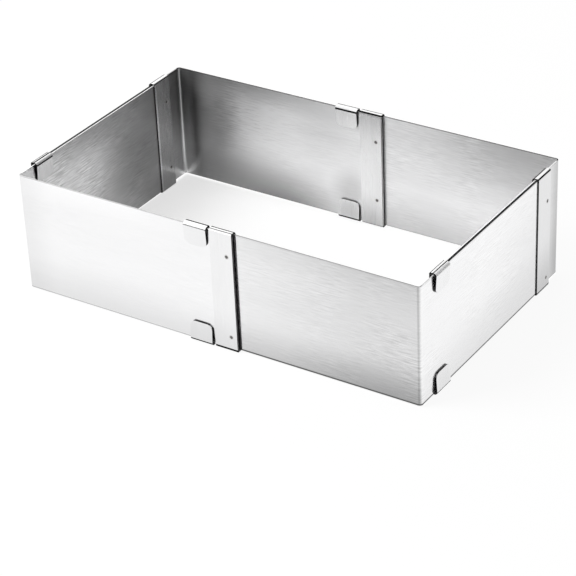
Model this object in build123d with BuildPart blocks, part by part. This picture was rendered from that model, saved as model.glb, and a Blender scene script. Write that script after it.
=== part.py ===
from build123d import *
import os

# Adjustable cake frame of four identical L-shaped sheet panels.
# Each wall is two legs that slide past each other: seen from outside, the left
# panel's leg is the outer sheet and the right panel's leg is the inner sheet.
# A spring clip is spot welded to the free end of every leg. It folds over the
# top and bottom edges of both sheets, and its tabs lean on the neighbour sheet.
# X runs along the front wall, Y to the back, Z up. The origin is on the floor,
# in the middle of the frame, and the frame stands on the clips' bottom folds.

# Panels
panel_height = 85
leg_length = 170  # outside of the corner to the free end, both legs
sheet_thickness = 0.8
corner_bend_radius = 1.5  # inside the bend
sheet_gap = 1.0  # between the two sheets of a wall

# How far the walls are pulled out
front_clip_gap = 2.0  # left between the two clips of the long walls
side_end_gap = 17.0  # from a free end to the next corner on the short walls

# Clips
clip_width = 17
clip_thickness = 0.8
web_bend_radius = 0.4  # inside the bends at the web
tab_bend_radius = 1.4  # inside the bends at the tabs
fold_clearance = 0.4  # above and below the sheets
fold_side_clearance = 1.2  # from the neighbour sheet to the tab, at the fold
tab_tip_clearance = 0.25  # the same at the tab's tip
tab_height = 15  # from the outside of the fold
tab_corner_radius = 4

# Spot welds
weld_radius = 1.1
weld_inset = 4.4  # from the free end
dent_depth = 0.15  # of the electrode's print, on both faces

# Heights of each clip's two welds above the sheet's bottom edge, as shares of the
# panel height. They were set by hand, so no two clips are alike.
weld_height_shares = {
    "front_left": {"outer": (0.11, 0.81), "inner": (0.17, 0.79)},
    "front_right": {"outer": (0.08, 0.76), "inner": (0.15, 0.78)},
    "back_right": {"outer": (0.10, 0.79), "inner": (0.18, 0.80)},
    "back_left": {"outer": (0.12, 0.80), "inner": (0.23, 0.765)},
}

# Sizes that follow
sheet_pitch = sheet_thickness + sheet_gap
weld_stack = clip_thickness + sheet_thickness
fold_drop = fold_clearance + clip_thickness
two_sheets = 2 * sheet_thickness + sheet_gap
fold_width = two_sheets + fold_side_clearance + 2 * clip_thickness
tip_width = two_sheets + tab_tip_clearance + 2 * clip_thickness
front_span = 2 * (leg_length - clip_width) - front_clip_gap
side_span = leg_length + side_end_gap
half_length = (front_span + sheet_pitch) / 2
half_width = (side_span + sheet_pitch) / 2

# Outside corner of each panel, with the way its outer leg runs from there
up = Vector(0, 0, 1)
panels = {
    "front_left": (Vector(sheet_pitch - half_length, -half_width, fold_drop), Vector(1, 0, 0)),
    "front_right": (Vector(half_length, sheet_pitch - half_width, fold_drop), Vector(0, 1, 0)),
    "back_right": (Vector(half_length - sheet_pitch, half_width, fold_drop), Vector(-1, 0, 0)),
    "back_left": (Vector(-half_length, half_width - sheet_pitch, fold_drop), Vector(0, -1, 0)),
}


def clip_planes(corner, outer_way):
    """Section plane of each leg's clip: origin on the web's bare face at the
    sheets' bottom edge, x from web to tab, y up, z along the leg."""
    inner_way = up.cross(outer_way)
    start = leg_length - clip_width
    outer_origin = corner + outer_way * start - inner_way * clip_thickness
    inner_origin = corner + inner_way * start + outer_way * weld_stack
    return {
        "outer": Plane(origin=outer_origin, x_dir=inner_way, z_dir=outer_way),
        "inner": Plane(origin=inner_origin, x_dir=-outer_way, z_dir=inner_way),
    }


def weld_face(section):
    """Plane of the web's bare face: x back along the leg, y up, z into the sheets."""
    return Plane(origin=section.origin, x_dir=-section.z_dir, z_dir=section.x_dir)


def weld_places(height_shares):
    along = weld_inset - clip_width
    return [(along, share * panel_height) for share in height_shares]


def weld_seats(section, height_shares):
    """Outlines of the two weld nuggets, which pass through web and sheet."""
    with BuildSketch(weld_face(section)) as seats:
        with Locations(*weld_places(height_shares)):
            Circle(weld_radius)
    return seats.sketch


def is_level(face):
    """Whether a face looks up or down, more or less."""
    normal = face.normal_at()
    return abs(normal.Z) > abs(normal.X) + abs(normal.Y)


def make_panel(name, corner, outer_way, sections, height_shares):
    """One sheet, bent once to an L."""
    with BuildPart() as panel:
        with BuildSketch(Plane(origin=corner, x_dir=outer_way, z_dir=up)):
            with BuildLine():
                FilletPolyline(
                    (leg_length, 0),
                    (0, 0),
                    (0, leg_length),
                    radius=corner_bend_radius + sheet_thickness,
                )
                offset(amount=sheet_thickness, side=Side.RIGHT)
            make_face()
        extrude(amount=panel_height)
        for leg, section in sections.items():
            seats = weld_seats(section, height_shares[leg])
            extrude(seats, amount=weld_stack, mode=Mode.SUBTRACT)
    panel.part.label = name
    return panel.part


def make_clip(name, section, height_shares):
    """One strip: web, a fold over each edge of the sheets, and two leaning tabs."""
    top_edge = panel_height + fold_drop
    tab_bend = tab_bend_radius + clip_thickness
    web_bend = web_bend_radius + clip_thickness
    with BuildPart() as clip:
        with BuildSketch(section):
            with BuildLine():
                FilletPolyline(
                    (tip_width, tab_height - fold_drop),
                    (fold_width, -fold_drop),
                    (0, -fold_drop),
                    (0, top_edge),
                    (fold_width, top_edge),
                    (tip_width, top_edge - tab_height),
                    radius=[tab_bend, web_bend, web_bend, tab_bend],
                )
                offset(amount=clip_thickness, side=Side.RIGHT)
            make_face()
        extrude(amount=clip_width)
        middle = section.origin.Z + panel_height / 2
        tips = clip.faces().filter_by(is_level).sort_by(lambda face: abs(face.center().Z - middle))[:2]
        fillet(tips.edges().group_by(SortBy.LENGTH)[0], radius=tab_corner_radius)
        extrude(weld_seats(section, height_shares), amount=weld_stack, mode=Mode.SUBTRACT)
    clip.part.label = name
    return clip.part


def make_welds(name, section, height_shares):
    """The two nuggets of a clip, sunk below both faces where the electrodes pressed."""
    with BuildPart() as welds:
        with BuildSketch(weld_face(section).offset(dent_depth)):
            with Locations(*weld_places(height_shares)):
                Circle(weld_radius)
        extrude(amount=weld_stack - 2 * dent_depth)
    welds.part.label = name
    return welds.part


os.makedirs("parts", exist_ok=True)
for name, (corner, outer_way) in panels.items():
    sections = clip_planes(corner, outer_way)
    height_shares = weld_height_shares[name]
    panel = make_panel(f"{name}_panel", corner, outer_way, sections, height_shares)
    export_step(panel, f"parts/{name}_panel.step")
    for leg, section in sections.items():
        clip = make_clip(f"{name}_{leg}_clip", section, height_shares[leg])
        export_step(clip, f"parts/{name}_{leg}_clip.step")
        welds = make_welds(f"{name}_{leg}_welds", section, height_shares[leg])
        export_step(welds, f"parts/{name}_{leg}_welds.step")
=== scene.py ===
# Looks of the adjustable cake frame: brushed stainless sheet, spring clips and spot welds.
# Lengths are in metres. X runs along the long walls, Y to the back, Z up from the floor.
import math

import bpy
from mathutils import Matrix, Vector


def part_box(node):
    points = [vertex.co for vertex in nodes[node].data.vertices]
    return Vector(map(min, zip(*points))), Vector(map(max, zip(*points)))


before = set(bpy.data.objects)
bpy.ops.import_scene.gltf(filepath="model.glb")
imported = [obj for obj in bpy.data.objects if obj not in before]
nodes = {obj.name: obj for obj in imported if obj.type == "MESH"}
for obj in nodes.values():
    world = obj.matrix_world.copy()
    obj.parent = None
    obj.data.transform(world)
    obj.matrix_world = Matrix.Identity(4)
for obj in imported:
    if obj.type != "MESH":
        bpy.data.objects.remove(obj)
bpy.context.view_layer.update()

xWay, yWay, zWay = Vector((1, 0, 0)), Vector((0, 1, 0)), Vector((0, 0, 1))


# Shader helpers

def put(tree, kind, inputs=None, **settings):
    node = tree.nodes.new("ShaderNode" + kind)
    for name, value in settings.items():
        setattr(node, name, value)
    for name, value in (inputs or {}).items():
        feed(tree, value, node.inputs[name])
    return node


def feed(tree, value, socket):
    if isinstance(value, bpy.types.NodeSocket):
        tree.links.new(value, socket)
    else:
        socket.default_value = value


def sums(tree, operation, first, second=0.0, third=0.0, clamp=False):
    node = put(tree, "Math", {0: first, 1: second, 2: third}, operation=operation, use_clamp=clamp)
    return node.outputs[0]


def vectors(tree, operation, first, second=(0, 0, 0)):
    node = put(tree, "VectorMath", {0: first, 1: second}, operation=operation)
    return node.outputs["Value" if operation in ("DOT_PRODUCT", "LENGTH", "DISTANCE") else 0]


def spread(tree, value, low, high, toLow=0.0, toHigh=1.0, smooth=True):
    shape = "SMOOTHSTEP" if smooth else "LINEAR"
    inputs = {"Value": value, "From Min": low, "From Max": high, "To Min": toLow, "To Max": toHigh}
    return put(tree, "MapRange", inputs, interpolation_type=shape).outputs[0]


def blendValues(tree, factor, first, second):
    return put(tree, "Mix", {0: factor, 2: first, 3: second}, data_type="FLOAT").outputs[0]


def blendColours(tree, factor, first, second, mode="MIX"):
    node = put(tree, "Mix", {0: factor, 6: first, 7: second}, data_type="RGBA", blend_type=mode)
    return node.outputs[2]


def grey(value):
    return (value, value, value, 1.0)


def startGroup(name, inputs, outputs):
    group = bpy.data.node_groups.new(name, "ShaderNodeTree")
    for label, (kind, default) in inputs.items():
        socket = group.interface.new_socket(label, in_out="INPUT", socket_type="NodeSocket" + kind)
        socket.default_value = default
    for label, kind in outputs.items():
        group.interface.new_socket(label, in_out="OUTPUT", socket_type="NodeSocket" + kind)
    entry = group.nodes.new("NodeGroupInput")
    leave = group.nodes.new("NodeGroupOutput")
    return group, entry.outputs, leave.inputs


def useGroup(tree, group, values):
    node = tree.nodes.new("ShaderNodeGroup")
    node.node_tree = group
    for label, value in values.items():
        feed(tree, value, node.inputs[label])
    return node.outputs


# Brushed grain: long fine scratches, wider streaks and broad bands of tone along one direction

grainLook = {
    "zoneScale": 26.0,
    "zoneRange": (0.35, 0.65),
    "zoneGain": (0.3, 1.7),
    "markRange": (0.30, 0.70),
    "roughness": 0.55,
    "distortion": 0.25,
    "detail": {"Scratch": 2.0, "Streak": 3.0, "Band": 2.0},
}


def makeGrainGroup(look):
    group, given, out = startGroup(
        "brushedGrain",
        {
            "Along": ("Vector", (1, 1, 0)),
            "Across": ("Vector", (0, 0, 1)),
            "Scratch Length": ("Float", 0.014),
            "Scratch Width": ("Float", 0.00016),
            "Streak Length": ("Float", 0.011),
            "Streak Width": ("Float", 0.0010),
            "Band Length": ("Float", 0.09),
            "Band Width": ("Float", 0.016),
            "Seed": ("Float", 0.0),
        },
        {"Scratches": "Float", "Streaks": "Float", "Bands": "Float"},
    )
    place = put(group, "TexCoord").outputs["Object"]
    along = vectors(group, "DOT_PRODUCT", place, given["Along"])
    across = vectors(group, "DOT_PRODUCT", place, given["Across"])
    plurals = {"Scratch": "Scratches", "Streak": "Streaks", "Band": "Bands"}
    # Streaks come and go from place to place
    zoneInputs = {"Vector": place, "Scale": look["zoneScale"], "Detail": 2.0}
    zones = put(group, "TexNoise", zoneInputs, noise_dimensions="4D")
    feed(group, given["Seed"], zones.inputs["W"])
    zone = spread(group, zones.outputs[0], *look["zoneRange"], *look["zoneGain"])
    for label, detail in look["detail"].items():
        u = sums(group, "DIVIDE", along, given[label + " Length"])
        v = sums(group, "DIVIDE", across, given[label + " Width"])
        where = put(group, "CombineXYZ", {"X": u, "Y": v, "Z": given["Seed"]}).outputs[0]
        noise = put(group, "TexNoise", {
            "Vector": where,
            "Scale": 1.0,
            "Detail": detail,
            "Roughness": look["roughness"],
            "Distortion": look["distortion"],
        })
        marks = spread(group, noise.outputs[0], *look["markRange"], -1.0, 1.0, smooth=False)
        if label == "Streak":
            marks = sums(group, "MULTIPLY", marks, zone)
        feed(group, marks, out[plurals[label]])
    return group


# Sheared end faces: rougher and matt where the strip was cut across, in a painted tone: near black for the
# shade of the gaps beside them, light on a few ends as a painted highlight

squareOn = (0.80, 0.92)  # how squarely a face looks along the strip before it counts as cut


def makeCutGroup():
    group, given, out = startGroup(
        "cutFace",
        {"Way": ("Vector", (0, 0, 1)), "From": ("Float", -1.0), "To": ("Float", 1.0)},
        {"Mask": "Float"},
    )
    coordinates = put(group, "TexCoord")
    facing = vectors(group, "DOT_PRODUCT", coordinates.outputs["Normal"], given["Way"])
    square = spread(group, sums(group, "ABSOLUTE", facing), *squareOn)
    reached = vectors(group, "DOT_PRODUCT", coordinates.outputs["Object"], given["Way"])
    beyond = sums(group, "GREATER_THAN", reached, given["From"])
    before = sums(group, "LESS_THAN", reached, given["To"])
    feed(group, sums(group, "MULTIPLY", square, sums(group, "MULTIPLY", beyond, before)), out["Mask"])
    return group


# Rims: narrow dark bands along a sheet's lower and upper edge; the lower one is painted contact shade at
# the sheet's foot, the upper one is darker towards the top edge

rimFade = (0.6, 1.4)  # shares of the rim's width


def makeRimGroup():
    group, given, out = startGroup(
        "sheetRim",
        {"Bottom": ("Float", 0.0), "Top": ("Float", 1.0), "Width": ("Float", 0.0005)},
        {"Lower": "Float", "Upper": "Float"},
    )
    height = vectors(group, "DOT_PRODUCT", put(group, "TexCoord").outputs["Object"], zWay)
    aboveBottom = sums(group, "SUBTRACT", height, given["Bottom"])
    belowTop = sums(group, "SUBTRACT", given["Top"], height)
    for distance, label in ((aboveBottom, "Lower"), (belowTop, "Upper")):
        share = sums(group, "DIVIDE", distance, given["Width"])
        feed(group, spread(group, share, *rimFade, 1.0, 0.0), out[label])
    return group


# Fold lines: a painted dark reflection along a clip's top or bottom fold, between two distances from the
# web's bare face

lineFade = 0.00006  # either way of a line's border


def makeLineGroup():
    group, given, out = startGroup(
        "paintedFoldReflection",
        {
            "Way": ("Vector", (0, 1, 0)),
            "Start": ("Float", 0.0),
            "From": ("Float", 0.0),
            "To": ("Float", 0.001),
            "Level": ("Float", 0.0),
            "Depth": ("Float", 0.0024),
        },
        {"Mask": "Float"},
    )
    place = put(group, "TexCoord").outputs["Object"]
    below = sums(group, "SUBTRACT", vectors(group, "DOT_PRODUCT", place, zWay), given["Level"])
    fold = sums(group, "LESS_THAN", sums(group, "ABSOLUTE", below), given["Depth"])
    across = sums(group, "SUBTRACT", vectors(group, "DOT_PRODUCT", place, given["Way"]), given["Start"])
    middle = sums(group, "MULTIPLY", sums(group, "ADD", given["From"], given["To"]), 0.5)
    half = sums(group, "MULTIPLY", sums(group, "SUBTRACT", given["To"], given["From"]), 0.5)
    away = sums(group, "SUBTRACT", sums(group, "ABSOLUTE", sums(group, "SUBTRACT", across, middle)), half)
    line = spread(group, away, -lineFade, lineFade, 1.0, 0.0)
    feed(group, sums(group, "MULTIPLY", line, fold), out["Mask"])
    return group


# Tone patches fading out from a centre: painted shade, or a painted highlight where the amount is below
# zero. Scuffs use the same patch to strengthen the streaks

patchFade = (0.1, 1.0)  # shares of the patch's reach


def makePaintedLightShadeAndScuffGroup():
    group, given, out = startGroup(
        "paintedLightShadeAndScuffPatch",
        {
            "Centre": ("Vector", (0, 0, 0)),
            "Reach": ("Vector", (0.05, 0.05, 0.05)),
            "Amount": ("Float", 0.3),
        },
        {"Tone": "Float"},
    )
    away = vectors(group, "SUBTRACT", put(group, "TexCoord").outputs["Object"], given["Centre"])
    distance = vectors(group, "LENGTH", vectors(group, "DIVIDE", away, given["Reach"]))
    near = spread(group, distance, *patchFade, 1.0, 0.0)
    feed(group, sums(group, "SUBTRACT", 1.0, sums(group, "MULTIPLY", near, given["Amount"])), out["Tone"])
    return group


# Heat tint round two spot welds on a web: a ring that fades outwards

def makeHeatGroup():
    group, given, out = startGroup(
        "weldHeat",
        {
            "Low Spot": ("Vector", (0, 0, 0)),
            "High Spot": ("Vector", (0, 0, 0)),
            "Inside": ("Float", 0.001),
            "Outside": ("Float", 0.002),
        },
        {"Mask": "Float"},
    )
    place = put(group, "TexCoord").outputs["Object"]
    rings = []
    for spot in ("Low Spot", "High Spot"):
        distance = vectors(group, "DISTANCE", place, given[spot])
        rings.append(spread(group, distance, given["Inside"], given["Outside"], 1.0, 0.0))
    feed(group, sums(group, "MAXIMUM", *rings), out["Mask"])
    return group


grainGroup = makeGrainGroup(grainLook)
cutGroup = makeCutGroup()
rimGroup = makeRimGroup()
lineGroup = makeLineGroup()
paintedLightShadeAndScuffGroup = makePaintedLightShadeAndScuffGroup()
heatGroup = makeHeatGroup()


# Steel of panels, clips and welds

steelLook = {
    "colour": (0.93, 0.93, 0.935, 1),
    "outerRoughness": 0.16,
    "innerRoughness": 0.32,
    "outerStreaks": 0.012,
    "innerStreaks": 0.06,
    "outerBands": 0.012,
    "innerBands": 0.04,
    "roughnessVariation": 0.03,
    "anisotropy": 0.8,
    "grainTurn": 0.25,
    "bump": 0.10,
    "bumpDepth": 0.00002,
    "lightestTone": 1.06,
    "topTonesAndGapShade": (0.90, 0.90, 0.90),
    "edgeRoughness": 0.30,
    "paintedCutTones": (0.006, 0.006),
    "cutRoughness": 0.40,
    "rimColour": (0.10, 0.10, 0.10, 1),
    "rimWidth": 0.0005,
    "paintedLowerShade": 0.5,
    "upperRim": 0.3,
    "paintedFoldReflectionColour": (0.01, 0.01, 0.01, 1),
    "innerPaintedLightShade": [],
    "outerPaintedLightShade": [],
    "scuffs": [],
}
# Painted shade: darker up in the back left corner, along the inner left wall and low down on most walls
cornerPaintedShade = ((-0.153, 0.0935, 0.095), (0.065, 0.100, 0.120), 0.52)
leftWallPaintedShade = ((-0.1513, 0.032, 0.050), (0.020, 0.055, 0.120), 0.40)
leftTopPaintedShade = ((-0.1513, -0.015, 0.090), (0.020, 0.100, 0.030), 0.36)
cornerCorePaintedShade = ((-0.1500, 0.0935, 0.062), (0.028, 0.009, 0.080), 0.68)
# Painted shade low down, where the walls and clips reflect the shade at their foot
frontFootPaintedShade = ((-0.070, -0.0950, -0.006), (0.350, 0.002, 0.045), 0.22)
clipFootPaintedShade = ((-0.040, -0.0958, -0.004), (0.200, 0.006, 0.040), 0.19)
leftFootPaintedShade = ((-0.1513, 0.000, 0.020), (0.020, 0.045, 0.045), 0.20)
# Painted shade on the front right and right walls, darker low down and towards the far ends
frontRightPaintedLightShade = [
    ((0.155, -0.0926, -0.005), (0.130, 0.002, 0.045), 0.42),
    ((0.030, -0.0926, -0.010), (0.220, 0.002, 0.045), 0.34),
    ((0.155, -0.0926, 0.060), (0.160, 0.002, 0.140), 0.18),
    ((0.150, -0.0926, 0.090), (0.220, 0.002, 0.030), 0.12),
    # Painted dark line where the corner bend starts, and a painted highlight on the bend
    ((0.1515, -0.0926, 0.045), (0.0012, 0.002, 0.300), 0.25),
    ((0.1539, -0.0905, 0.045), (0.0015, 0.007, 0.300), -0.05),
    ((0.1539, 0.110, 0.030), (0.002, 0.160, 0.110), 0.28),
    ((0.1539, 0.000, -0.005), (0.002, 0.200, 0.060), 0.32),
]


# The same patches, half a turn round the frame's middle
def turned(patches):
    return [((-x, -y, z), reach, amount) for (x, y, z), reach, amount in patches]


# Outer and inner tones are for the leg along X and the leg along Y; the lower inner tones are painted
# shade inside the frame. Cut tones, painted shade when near black and a painted highlight when light, are
# for the outer and inner leg.
# Edge tones are for the leg along X, the leg along Y where it is single, and where the neighbour backs it;
# the dark ones are painted shade along the top edge and over the gap to the neighbour's sheet
panelLooks = {
    "front_left": {
        "seed": 1.0,
        "outer": (1.00, 0.95),
        "inner": (0.85, 0.75),
        "innerStreaks": 0.15,
        "innerBands": 0.06,
        "topTonesAndGapShade": (0.50, 0.90, 0.90),
        "paintedCutTones": (0.12, 0.25),
        "paintedLowerShade": 0.6,
        "innerPaintedLightShade": [cornerPaintedShade, leftWallPaintedShade, leftTopPaintedShade, leftFootPaintedShade],
        "outerPaintedLightShade": [
            frontFootPaintedShade,
            # Painted shade at the corner bend, and a painted highlight along the top
            ((-0.152, -0.0944, 0.040), (0.030, 0.002, 0.200), 0.08),
            ((-0.100, -0.0944, 0.090), (0.110, 0.002, 0.025), -0.05),
        ],
        "scuffs": [((-0.151, -0.045, 0.060), (0.006, 0.070, 0.060), 0.8)],
    },
    "front_right": {
        "seed": 5.0,
        "outer": (0.92, 1.02),
        "inner": (0.85, 0.85),
        "outerStreaks": 0.045,
        "topTonesAndGapShade": (0.22, 0.60, 0.03),
        "paintedLowerShade": 1.0,
        "upperRim": 0.10,
        "rimWidth": 0.0011,
        "outerPaintedLightShade": frontRightPaintedLightShade,
        "scuffs": [((0.150, -0.0926, 0.020), (0.110, 0.002, 0.120), 1.6)],
    },
    "back_right": {
        "seed": 9.0,
        "outer": (0.93, 0.84),
        "inner": (0.85, 0.85),
        "outerStreaks": 0.025,
        "topTonesAndGapShade": (0.03, 0.90, 0.90),
        "innerPaintedLightShade": [
            ((0.155, 0.0935, 0.087), (0.15, 0.006, 0.065), 0.40),
            ((0.040, 0.0935, -0.005), (0.28, 0.006, 0.040), 0.30),
        ],
        "outerPaintedLightShade": [
            ((0.1521, 0.0944, 0.040), (0.006, 0.017, 0.200), 0.34),
            ((0.1521, 0.0900, -0.002), (0.006, 0.030, 0.055), 0.22),
            *turned([frontFootPaintedShade]),
        ],
        "scuffs": [((0.080, 0.0935, 0.080), (0.110, 0.006, 0.060), 0.8)],
    },
    "back_left": {
        "seed": 14.0,
        "outer": (0.88, 0.93),
        "inner": (0.88, 1.00),
        "outerStreaks": 0.045,
        "innerStreaks": 0.04,
        "topTonesAndGapShade": (0.03, 0.40, 0.03),
        "paintedCutTones": (0.006, 0.80),
        "innerPaintedLightShade": [
            cornerPaintedShade,
            cornerCorePaintedShade,
            leftWallPaintedShade,
            # Painted highlight on the inner back wall
            ((-0.076, 0.0917, 0.058), (0.052, 0.006, 0.056), -0.20),
            ((-0.072, 0.0917, -0.005), (0.095, 0.006, 0.046), 0.68),
            ((-0.008, 0.0917, 0.022), (0.022, 0.006, 0.022), 0.30),
            ((-0.090, 0.0917, 0.090), (0.075, 0.006, 0.022), 0.35),
            # Painted highlight down the inside of the back left corner
            ((-0.1525, 0.0912, 0.045), (0.0028, 0.0028, 0.300), -1.15),
            ((-0.119, 0.0917, 0.055), (0.022, 0.006, 0.034), 0.28),
            # Painted shade of the gap along the left wall's top
            ((-0.1531, 0.000, 0.0866), (0.002, 0.600, 0.0050), 0.97),
        ],
        "outerPaintedLightShade": turned(frontRightPaintedLightShade),
        "scuffs": [((-0.105, 0.0917, 0.070), (0.050, 0.006, 0.045), 2.5)],
    },
}
clipSteel = dict(steelLook, innerRoughness=0.26, outerRoughness=0.18, innerStreaks=0.03, grainTurn=0.0)
# Clip tones as for the panels: the lower inner tones are painted shade inside the frame, the patches
# painted shade and highlights
clipTones = {
    "front_left": {
        "outer": (0.96, 0.98),
        "inner": (0.95, 0.75),
        "paintedCutTones": (0.006, 0.03),
        "innerPaintedLightShade": [
            cornerPaintedShade,
            leftWallPaintedShade,
            leftTopPaintedShade,
            # Painted highlight beside the clip's near edge
            ((-0.1505, 0.0592, 0.042), (0.002, 0.0019, 0.070), -1.90),
        ],
        "outerPaintedLightShade": [clipFootPaintedShade],
    },
    "front_right": {
        "outer": (0.96, 0.86),
        "inner": (0.92, 0.92),
        "outerPaintedLightShade": [clipFootPaintedShade, ((0.1547, 0.075, -0.002), (0.006, 0.060, 0.045), 0.30)],
    },
    "back_right": {
        "outer": (0.98, 0.98),
        "inner": (0.84, 0.92),
        "innerPaintedLightShade": [((-0.010, 0.0895, 0.005), (0.020, 0.010, 0.020), 0.35)],
        "outerPaintedLightShade": [((0.157, -0.067, 0.005), (0.010, 0.030, 0.025), 0.14), *turned([clipFootPaintedShade])],
    },
    "back_left": {
        "outer": (0.98, 0.98),
        "inner": (0.87, 0.60),
        "innerPaintedLightShade": [((0.008, 0.0909, -0.004), (0.030, 0.006, 0.034), 0.42)],
        "outerPaintedLightShade": turned([clipFootPaintedShade]),
    },
}
# Painted dark reflections on the top and the bottom fold: from and to, from the web's bare face, and how
# strong
clipPaintedFoldReflections = {
    "front_left_outer": {
        "top": [(0.0007, 0.0014, 0.9), (0.0029, 0.0046, 1.0)],
        "bottom": [(-0.0001, 0.0006, 1.0)],
    },
    "front_right_inner": {
        "top": [(0.0003, 0.0019, 1.0), (0.00505, 0.0052, 1.0)],
        "bottom": [(0.0044, 0.0055, 1.0)],
    },
    "front_right_outer": {
        "top": [(0.0001, 0.0009, 1.0), (0.0031, 0.0049, 0.9)],
        "bottom": [(-0.0001, 0.0003, 0.6)],
    },
    "back_right_inner": {
        "top": [(0.0002, 0.0012, 0.9), (0.0025, 0.0033, 1.0), (0.00515, 0.0055, 0.1)],
        "bottom": [(0.0048, 0.0055, 0.9)],
    },
    "back_right_outer": {
        "top": [(0.0003, 0.0016, 1.0), (0.00495, 0.0056, 1.0)],
        "bottom": [(0.0044, 0.0055, 1.0)],
    },
    "back_left_inner": {
        "top": [(0.00002, 0.0010, 1.0), (0.0029, 0.0046, 0.9)],
        "bottom": [(0.00005, 0.0006, 1.0)],
    },
    "back_left_outer": {
        "top": [(0.0002, 0.00145, 0.9), (0.0020, 0.0033, 1.0), (0.0051, 0.0056, 1.0)],
        "bottom": [],
    },
    "front_left_inner": {
        "top": [(0.0001, 0.0009, 0.9), (0.0031, 0.0049, 0.9)],
        "bottom": [],
    },
}
lineDepths = {"top": 0.0024, "bottom": 0.0020}
weldSteel = dict(
    steelLook,
    colour=(0.16, 0.155, 0.15, 1),
    outer=(1.0, 1.0),
    inner=(1.0, 1.0),
    outerRoughness=0.30,
    anisotropy=0.0,
)
heatLook = {"inside": 0.0012, "outside": 0.0023, "colour": (0.55, 0.54, 0.53, 1), "strength": 0.8}
# How far a normal leans before its face counts as the inner side, as a wall along Y, as level or as matt
facings = {
    "inside": (0.15, 0.45),
    "sideways": (0.3, 0.7),
    "level": (0.85, 0.95),
    "matt": (0.10, 0.30),
}
bendReach = (0.002, 0.004)  # from the long wall's outer face, where the edge tone changes at the bend
backedFade = 0.0004  # either way of the neighbour's end, where the edge tone changes again
streakRelief = 0.5  # of the scratches' relief


def startMaterial(name):
    material = bpy.data.materials.new(name)
    material.use_nodes = True
    tree = material.node_tree
    tree.nodes.clear()
    return material, tree


def sideValue(tree, inside, sideways, look):
    outer = blendValues(tree, sideways, *look["outer"])
    inner = blendValues(tree, sideways, *look["inner"])
    return blendValues(tree, inside, outer, inner)


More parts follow.
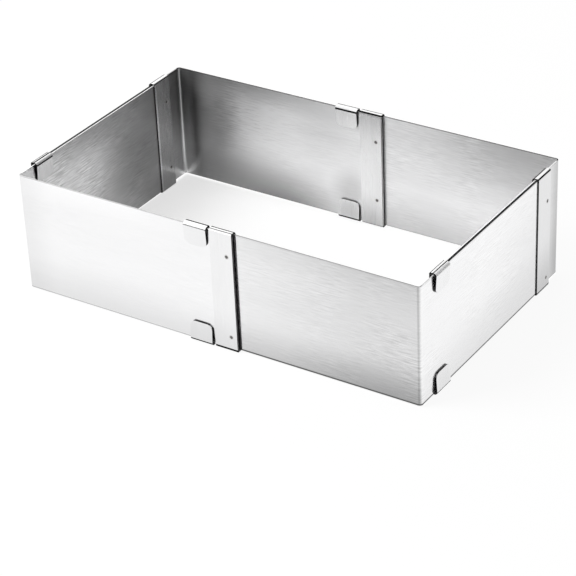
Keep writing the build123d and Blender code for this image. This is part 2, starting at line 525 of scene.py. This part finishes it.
def makeSteel(name, look, shape):
    material, tree = startMaterial(name)
    coordinates = put(tree, "TexCoord").outputs
    normal = coordinates["Normal"]
    along, across = shape["grain"]
    grain = useGroup(tree, grainGroup, {"Along": along, "Across": across, "Seed": look["seed"]})

    inside = spread(tree, vectors(tree, "DOT_PRODUCT", normal, shape["inward"]), *facings["inside"])
    towardX = sums(tree, "ABSOLUTE", vectors(tree, "DOT_PRODUCT", normal, xWay))
    sideways = spread(tree, towardX, *facings["sideways"])
    # Inner faces take the lower inner tones: painted shade inside the frame
    tone = sideValue(tree, inside, sideways, look)
    streaks = blendValues(tree, inside, look["outerStreaks"], look["innerStreaks"])
    for centre, reach, gain in look["scuffs"]:
        scuff = useGroup(tree, paintedLightShadeAndScuffGroup, {"Centre": centre, "Reach": reach, "Amount": -gain})
        streaks = sums(tree, "MULTIPLY", streaks, scuff["Tone"])
    bands = blendValues(tree, inside, look["outerBands"], look["innerBands"])
    marks = sums(tree, "MULTIPLY_ADD", grain["Streaks"], streaks, 1.0)
    marks = sums(tree, "MULTIPLY_ADD", grain["Bands"], bands, marks)
    tone = sums(tree, "MULTIPLY", tone, marks)
    outside = sums(tree, "SUBTRACT", 1.0, inside)
    # Painted shade from the patch lists, and painted highlights where an amount is below zero
    for side, patches in ((inside, look["innerPaintedLightShade"]), (outside, look["outerPaintedLightShade"])):
        for centre, reach, amount in patches:
            shown = sums(tree, "MULTIPLY", side, amount)
            patch = useGroup(tree, paintedLightShadeAndScuffGroup, {"Centre": centre, "Reach": reach, "Amount": shown})
            tone = sums(tree, "MULTIPLY", tone, patch["Tone"])
    tone = sums(tree, "MINIMUM", tone, look["lightestTone"])
    shade = put(tree, "CombineXYZ", {"X": tone, "Y": tone, "Z": tone}).outputs[0]
    colour = blendColours(tree, 1.0, look["colour"], shade, mode="MULTIPLY")
    rough = blendValues(tree, inside, look["outerRoughness"], look["innerRoughness"])
    rough = sums(tree, "MULTIPLY_ADD", grain["Scratches"], look["roughnessVariation"], rough)

    # Lower rim: painted contact shade along the foot; upper rim: a darker band along the top edge
    if "rims" in shape:
        bottom, top = shape["rims"]
        rims = useGroup(tree, rimGroup, {"Bottom": bottom, "Top": top, "Width": look["rimWidth"]})
        lower = sums(tree, "MULTIPLY", rims["Lower"], look["paintedLowerShade"])
        upper = sums(tree, "MULTIPLY", rims["Upper"], look["upperRim"])
        colour = blendColours(tree, sums(tree, "MAXIMUM", lower, upper), colour, look["rimColour"])
    # Top faces take the edge tones: the dark ones are painted shade along the top edge and over the gap
    # where the neighbour's sheet backs it
    upright = sums(tree, "ABSOLUTE", vectors(tree, "DOT_PRODUCT", normal, zWay))
    level = spread(tree, upright, *facings["level"])
    matt = spread(tree, upright, *facings["matt"])
    edge = grey(look["topTonesAndGapShade"][0])
    if "longLegAt" in shape:
        depth = vectors(tree, "DOT_PRODUCT", coordinates["Object"], yWay)
        distance = sums(tree, "ABSOLUTE", sums(tree, "SUBTRACT", depth, shape["longLegAt"]))
        onLong, onShort, backed = map(grey, look["topTonesAndGapShade"])
        edge = blendColours(tree, spread(tree, distance, *bendReach), onLong, onShort)
        beyondEnd = spread(tree, distance, endGap - backedFade, endGap + backedFade)
        edge = blendColours(tree, beyondEnd, edge, backed)
    colour = blendColours(tree, level, colour, edge)
    rough = blendValues(tree, level, rough, look["edgeRoughness"])
    # Painted dark reflections along the clips' folds, matt and near black
    for fold, (near, far, strength) in shape["lines"]:
        line = useGroup(tree, lineGroup, dict(fold, From=near, To=far))["Mask"]
        line = sums(tree, "MULTIPLY", line, strength)
        colour = blendColours(tree, line, colour, look["paintedFoldReflectionColour"])
        matt = sums(tree, "MAXIMUM", matt, line)

    if "spots" in shape:
        lowSpot, highSpot = shape["spots"]
        heat = useGroup(tree, heatGroup, {
            "Low Spot": lowSpot,
            "High Spot": highSpot,
            "Inside": heatLook["inside"],
            "Outside": heatLook["outside"],
        })["Mask"]
        heat = sums(tree, "MULTIPLY", heat, heatLook["strength"])
        colour = blendColours(tree, heat, colour, heatLook["colour"])
    # End faces take their painted cut tone: near black as gap shade, light as a highlight
    for way, start, end, cutTone in shape["cuts"]:
        cut = useGroup(tree, cutGroup, {"Way": way, "From": start, "To": end})["Mask"]
        colour = blendColours(tree, cut, colour, grey(cutTone))
        rough = blendValues(tree, cut, rough, look["cutRoughness"])
        matt = sums(tree, "MAXIMUM", matt, cut)
    metal = sums(tree, "SUBTRACT", 1.0, matt)

    relief = sums(tree, "MULTIPLY_ADD", grain["Streaks"], streakRelief, grain["Scratches"])
    bump = put(tree, "Bump", {"Strength": look["bump"], "Distance": look["bumpDepth"], "Height": relief})
    shader = put(tree, "BsdfPrincipled", {
        "Base Color": colour,
        "Metallic": metal,
        "Roughness": rough,
        "Specular IOR Level": 0.0,
        "Anisotropic": look["anisotropy"],
        "Anisotropic Rotation": look["grainTurn"],
        "Normal": bump.outputs[0],
    })
    out = put(tree, "OutputMaterial")
    tree.links.new(shader.outputs[0], out.inputs[0])
    return material


def dress(node, material):
    node.data.materials.clear()
    node.data.materials.append(material)


# Edges broken by the deburring, after the faces that the export cut up are joined again
softEdge = {"width": 0.00012, "segments": 2, "sharpAngle": 40, "flatAngle": 0.5, "joinWithin": 0.000002}


def softenEdges(node, look):
    weld = node.modifiers.new("joinFaces", "WELD")
    weld.merge_threshold = look["joinWithin"]
    flat = node.modifiers.new("wholeFaces", "DECIMATE")
    flat.decimate_type = "DISSOLVE"
    flat.angle_limit = math.radians(look["flatAngle"])
    bevel = node.modifiers.new("softEdge", "BEVEL")
    bevel.width = look["width"]
    bevel.segments = look["segments"]
    bevel.limit_method = "ANGLE"
    bevel.angle_limit = math.radians(look["sharpAngle"])
    even = node.modifiers.new("flatFaces", "WEIGHTED_NORMAL")
    even.mode = "FACE_AREA"
    even.weight = 100  # the large faces alone give the normals


# Way of each panel's outer leg; its inner leg runs a quarter turn to the left of it
outerWays = {
    "front_left": Vector((1, 0, 0)),
    "front_right": Vector((0, 1, 0)),
    "back_right": Vector((-1, 0, 0)),
    "back_left": Vector((0, -1, 0)),
}
levelWay = Vector((1, 1, 0))
farOff = 1.0  # past every piece
everywhere = (-farOff, farOff)
clipSeedStep = 2.5
tipHeights = (0.008, 0.078)  # the tabs' tips lie between these, the folds outside them
# From a corner to the end of the neighbour's leg on the short walls
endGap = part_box("back_right_panel")[0].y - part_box("front_right_panel")[0].y


def weldSpots(welds, wallWay):
    low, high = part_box(welds.name)
    middle = (low + high) / 2
    radius = (high - low).dot(Vector((abs(wallWay.x), abs(wallWay.y), 0))) / 2
    lowSpot = Vector((middle.x, middle.y, low.z + radius))
    highSpot = Vector((middle.x, middle.y, high.z - radius))
    return lowSpot, highSpot


for panelName, outerWay in outerWays.items():
    innerWay = zWay.cross(outerWay)
    inward = outerWay + innerWay
    look = dict(steelLook, **panelLooks[panelName])
    panel = nodes[panelName + "_panel"]
    low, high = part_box(panel.name)
    middle = (low + high) / 2
    cutEnds = zip((outerWay, innerWay), look["paintedCutTones"])
    panelShape = {
        "grain": (levelWay, zWay),
        "inward": inward,
        "cuts": [(way, middle.dot(way), farOff, tone) for way, tone in cutEnds],
        "rims": (low.z, high.z),
        "longLegAt": low.y if inward.y > 0 else high.y,
        "lines": [],
    }
    dress(panel, makeSteel(panelName + "Steel", look, panelShape))
    softenEdges(panel, softEdge)
    legs = (("outer", outerWay, innerWay), ("inner", innerWay, -outerWay))
    for place, (leg, wallWay, webToTab) in enumerate(legs):
        clip = nodes[f"{panelName}_{leg}_clip"]
        welds = nodes[f"{panelName}_{leg}_welds"]
        clipLow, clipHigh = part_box(clip.name)
        webFace = min(clipLow.dot(webToTab), clipHigh.dot(webToTab))
        clipLook = dict(clipSteel, seed=look["seed"] + clipSeedStep, **clipTones[panelName])
        cutTone = clipLook["paintedCutTones"][place]
        lines = []
        for side, level in (("top", clipHigh.z), ("bottom", clipLow.z)):
            fold = {"Way": webToTab, "Start": webFace, "Level": level, "Depth": lineDepths[side]}
            lines += [(fold, line) for line in clipPaintedFoldReflections[f"{panelName}_{leg}"][side]]
        clipShape = {
            "grain": (zWay, levelWay),
            "inward": inward,
            "cuts": [(wallWay, *everywhere, cutTone), (zWay, *tipHeights, cutTone)],
            "spots": weldSpots(welds, wallWay),
            "lines": lines,
        }
        dress(clip, makeSteel(clip.name + "Steel", clipLook, clipShape))
        softenEdges(clip, softEdge)
        weldLook = dict(weldSteel, seed=look["seed"])
        weldShape = {"grain": (levelWay, zWay), "inward": inward, "cuts": [], "lines": []}
        dress(welds, makeSteel(welds.name + "Steel", weldLook, weldShape))
print("Steel dressed:", len(bpy.data.materials), "materials")


# Studio: white paper floor, soft world, softboxes

# The paper's share of plain white, for camera rays and for glossy rays. It is less inside the frame,
# apart from a painted pool of light that only reflections show
floorLook = {
    "size": 8.0,
    "colour": (0.95, 0.95, 0.95, 1),
    "walls": (
        ("front_left", (-1, 0, 0), 0.1515),
        ("front_left", (0, -1, 0), 0.0920),
        ("front_right", (1, 0, 0), 0.1515),
        ("back_left", (0, 1, 0), 0.0920),
    ),
    "fade": 0.0015,
    "outside": {"camera": 0.92, "glossy": 0.95},
    "inside": {"camera": 0.66, "glossy": 0.0},
    "spot": {"Centre": (-0.125, 0.015, 0.0), "Reach": (0.055, 0.060, 1.0), "Amount": -0.6},
}


def makeFloor(look):
    mesh = bpy.data.meshes.new("floor")
    half = look["size"] / 2
    corners = [(-half, -half, 0), (half, -half, 0), (half, half, 0), (-half, half, 0)]
    mesh.from_pydata(corners, [], [(0, 1, 2, 3)])
    floor = bpy.data.objects.new("floor", mesh)
    bpy.context.scene.collection.objects.link(floor)
    material, tree = startMaterial("floorPaper")
    inside = 1.0
    for panelName, way, reach in look["walls"]:
        # Measured from the panel itself, so that the zone follows the walls when they slide
        place = put(tree, "TexCoord", object=nodes[panelName + "_panel"]).outputs["Object"]
        distance = vectors(tree, "DOT_PRODUCT", place, way)
        within = spread(tree, distance, reach - look["fade"], reach, 1.0, 0.0)
        inside = sums(tree, "MULTIPLY", inside, within)
    paper = put(tree, "BsdfDiffuse", {"Color": look["colour"]})
    glow = put(tree, "Emission", {"Color": grey(1.0), "Strength": 1.0})
    rays = put(tree, "LightPath").outputs
    lift = 0.0
    # Painted pool of light on the floor near the left wall, seen only by glossy rays
    spot = sums(tree, "SUBTRACT", useGroup(tree, paintedLightShadeAndScuffGroup, look["spot"])["Tone"], 1.0)
    for ray, name, extra in (("Is Camera Ray", "camera", 0.0), ("Is Glossy Ray", "glossy", spot)):
        share = blendValues(tree, inside, look["outside"][name], look["inside"][name])
        share = sums(tree, "ADD", share, extra, clamp=True)
        lift = sums(tree, "MULTIPLY_ADD", rays[ray], share, lift)
    mixed = put(tree, "MixShader", {0: lift, 1: paper.outputs[0], 2: glow.outputs[0]})
    out = put(tree, "OutputMaterial")
    tree.links.new(mixed.outputs[0], out.inputs[0])
    floor.data.materials.append(material)


worldLook = {
    "dark": 0.04,
    "bright": 0.50,
    "way": (-0.45, -0.45, 0.77),
    "wayRange": (-0.1, 0.9),
    "heightRange": (0.0, 0.35),
    "behindRange": (0.35, 0.60),
    "behindHeight": (0.05, 0.30),
}


def makeWorld(look):
    world = bpy.data.worlds.new("studio")
    bpy.context.scene.world = world
    world.use_nodes = True
    tree = world.node_tree
    tree.nodes.clear()
    sky = put(tree, "TexCoord").outputs["Generated"]
    facing = spread(tree, vectors(tree, "DOT_PRODUCT", sky, look["way"]), *look["wayRange"])
    height = spread(tree, vectors(tree, "DOT_PRODUCT", sky, zWay), *look["heightRange"])
    strength = blendValues(tree, sums(tree, "MULTIPLY", facing, height), look["dark"], look["bright"])
    behind = spread(tree, vectors(tree, "DOT_PRODUCT", sky, yWay), *look["behindRange"])
    above = spread(tree, vectors(tree, "DOT_PRODUCT", sky, zWay), *look["behindHeight"])
    strength = blendValues(tree, sums(tree, "MULTIPLY", behind, above), strength, 1.0)
    rays = put(tree, "LightPath").outputs
    shown = blendValues(tree, rays["Is Camera Ray"], strength, 1.0)
    background = put(tree, "Background", {"Color": grey(1.0), "Strength": shown})
    out = put(tree, "OutputWorld")
    tree.links.new(background.outputs[0], out.inputs[0])


softboxes = {
    "keyFrontLeft": {"place": (-0.72, -0.72, 1.10), "size": (0.8, 0.8), "radiance": 10.0},
    "rimBackLeft": {"place": (-0.77, 1.14, 0.82), "size": (1.0, 0.9), "radiance": 1.3},
}


def makeSoftbox(name, look):
    light = bpy.data.lights.new(name, "AREA")
    light.shape = "RECTANGLE"
    light.size, light.size_y = look["size"]
    light.energy = look["radiance"] * math.pi * light.size * light.size_y
    box = bpy.data.objects.new(name, light)
    box.location = look["place"]
    box.rotation_mode = "QUATERNION"
    box.rotation_quaternion = Vector(look["place"]).to_track_quat("Z", "Y")
    bpy.context.scene.collection.objects.link(box)


makeFloor(floorLook)
makeWorld(worldLook)
for boxName, boxLook in softboxes.items():
    makeSoftbox(boxName, boxLook)
print("Studio set:", len(softboxes), "softboxes")


# Camera at the photograph's viewing angle

cameraView = {
    "azimuth": 34.0,
    "elevation": 30.75,
    "roll": -2.63,
    "distance": 1.432,
    "target": (0.0441, -0.0716, 0.0437),
    "lens": 140.95,
    "sensor": 36.0,
    "clip": (0.05, 50),
}


def makeCamera(look):
    azimuth, elevation = math.radians(look["azimuth"]), math.radians(look["elevation"])
    right = Vector((math.cos(azimuth), math.sin(azimuth), 0))
    ahead = Vector((math.sin(azimuth), -math.cos(azimuth), 0)) * math.cos(elevation)
    back = ahead + zWay * math.sin(elevation)
    axes = Matrix((right, back.cross(right), back)).transposed().to_4x4()
    roll = Matrix.Rotation(math.radians(look["roll"]), 4, back)
    data = bpy.data.cameras.new("photoView")
    data.lens = look["lens"]
    data.sensor_width = look["sensor"]
    data.clip_start, data.clip_end = look["clip"]
    camera = bpy.data.objects.new("photoView", data)
    bpy.context.scene.collection.objects.link(camera)
    place = Vector(look["target"]) + back * look["distance"]
    camera.matrix_world = Matrix.Translation(place) @ roll @ axes
    bpy.context.scene.camera = camera


makeCamera(cameraView)
bpy.context.scene.view_settings.view_transform = "Standard"
print("Camera set at azimuth", cameraView["azimuth"])
